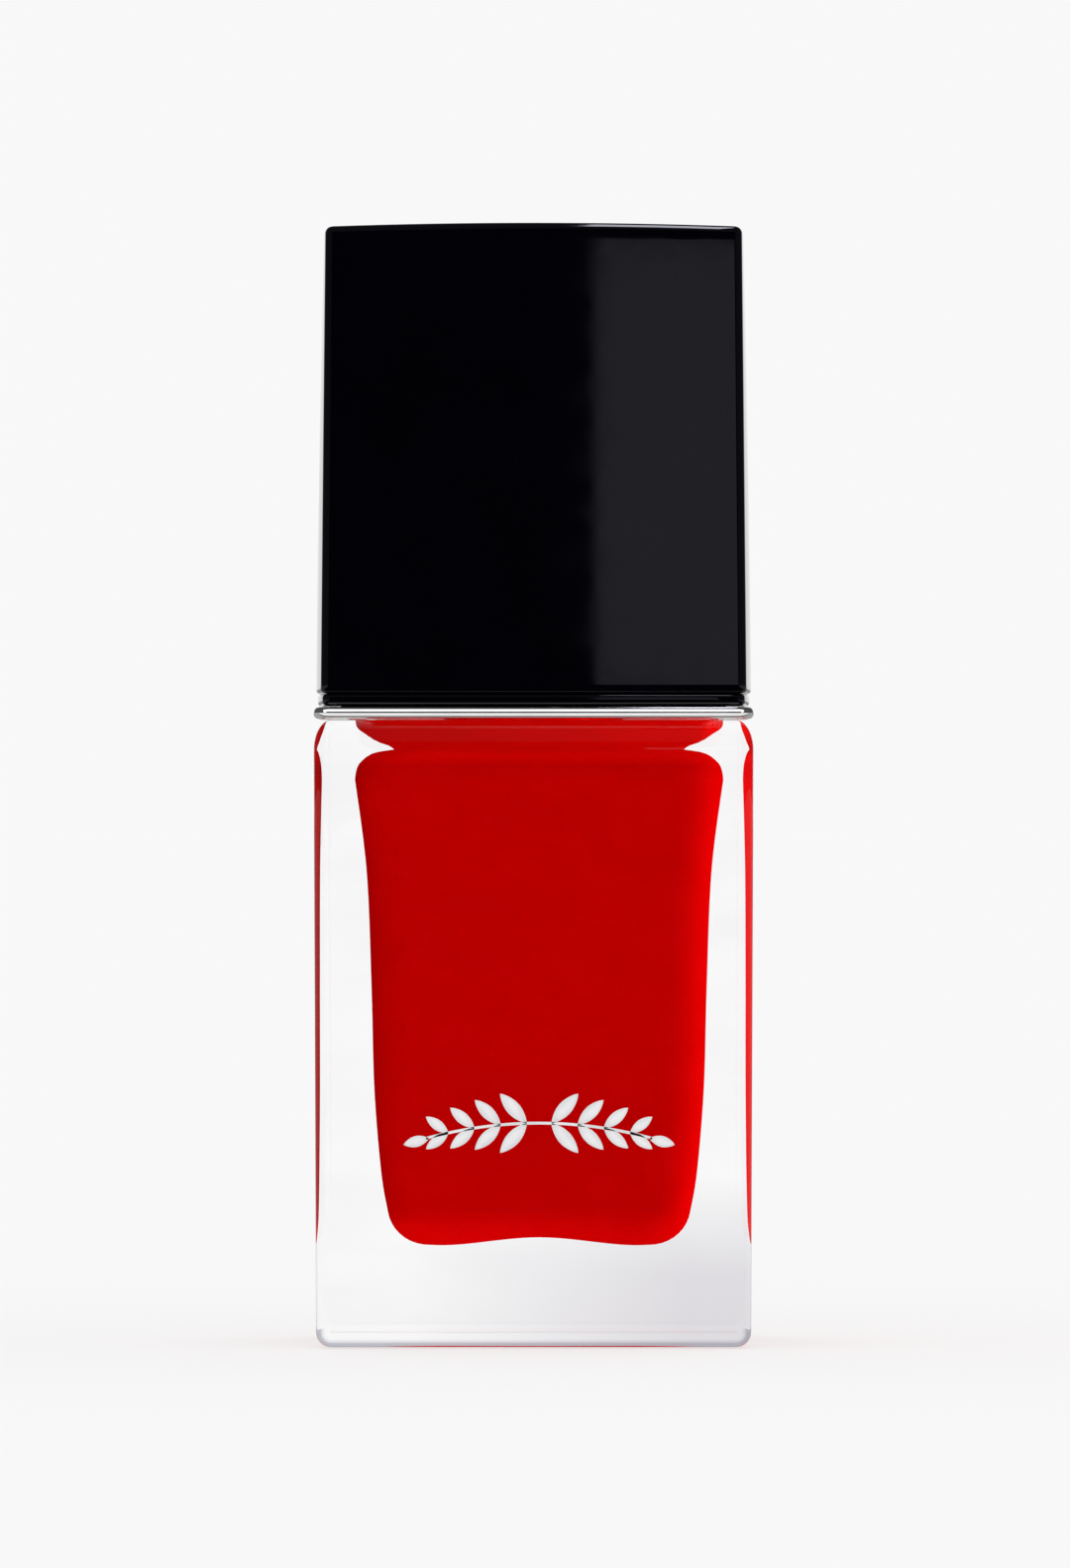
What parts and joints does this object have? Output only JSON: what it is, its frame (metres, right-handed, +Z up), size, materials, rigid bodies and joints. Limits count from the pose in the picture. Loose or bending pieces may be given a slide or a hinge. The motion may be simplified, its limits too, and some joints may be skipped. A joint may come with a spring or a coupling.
{
  "type": "nail polish bottle",
  "caption": "Rectangular thick-walled glass bottle of red nail lacquer with a brush on a round screw cap under a glossy black pull-off overcap with a bright metal collar.",
  "frame": {"origin": "centre of the bottle's base, on the surface it stands on", "axes": "+Z up along the bottle's height, +X along the width to the right of somebody facing the front, front facing -Y, so Y is the depth"},
  "size_m": [0.032, 0.022, 0.0817],
  "materials": {
    "clear_glass": "polished clear glass",
    "red_lacquer": "opaque glossy red liquid",
    "label_film": "satin white film",
    "ball_steel": "polished stainless steel",
    "liner_foam": "white polyethylene foam",
    "cap_plastic": "satin black polypropylene",
    "stem_plastic": "smooth black polypropylene",
    "bristle_nylon": "fine dark nylon filaments",
    "anchor_steel": "bright rolled strip",
    "black_gloss": "high-gloss piano black",
    "bright_metal": "bright polished metal",
    "insert_plastic": "plain moulded plastic"
  },
  "bodies": {
    "bottle": {"bottle_glass": "clear_glass", "lacquer": "red_lacquer", "base_label": "label_film"},
    "ball_left": {"mixing_ball_left": "ball_steel"},
    "ball_right": {"mixing_ball_right": "ball_steel"},
    "liner": {"sealing_liner": "liner_foam"},
    "brush": {"brush_cap": "cap_plastic", "brush_stem": "stem_plastic", "bristle_tuft": "bristle_nylon", "bristle_anchor": "anchor_steel"},
    "overcap": {"overcap_shell": "black_gloss", "collar_ring": "bright_metal", "overcap_insert": "insert_plastic"}
  },
  "joints": [
    {"name": "brush_lift", "type": "slide", "parent": "bottle", "child": "liner", "axis": [0, 0, 1], "range_m": [0, 0.06], "deforming": ["lacquer"]},
    {"name": "cap_turn", "type": "hinge", "parent": "liner", "child": "brush", "pos_m": [0, 0, 0.057], "axis": [0, 0, 1], "range_deg": [0, 450]},
    {"name": "overcap_lift", "type": "slide", "parent": "brush", "child": "overcap", "axis": [0, 0, 1], "range_m": [0, 0.04]},
    {"name": "ball_left_shake", "type": "slide", "parent": "bottle", "child": "ball_left", "axis": [0, 0, 1], "range_m": [0, 0.03]},
    {"name": "ball_right_shake", "type": "slide", "parent": "bottle", "child": "ball_right", "axis": [0, 0, 1], "range_m": [0, 0.03]}
  ]
}
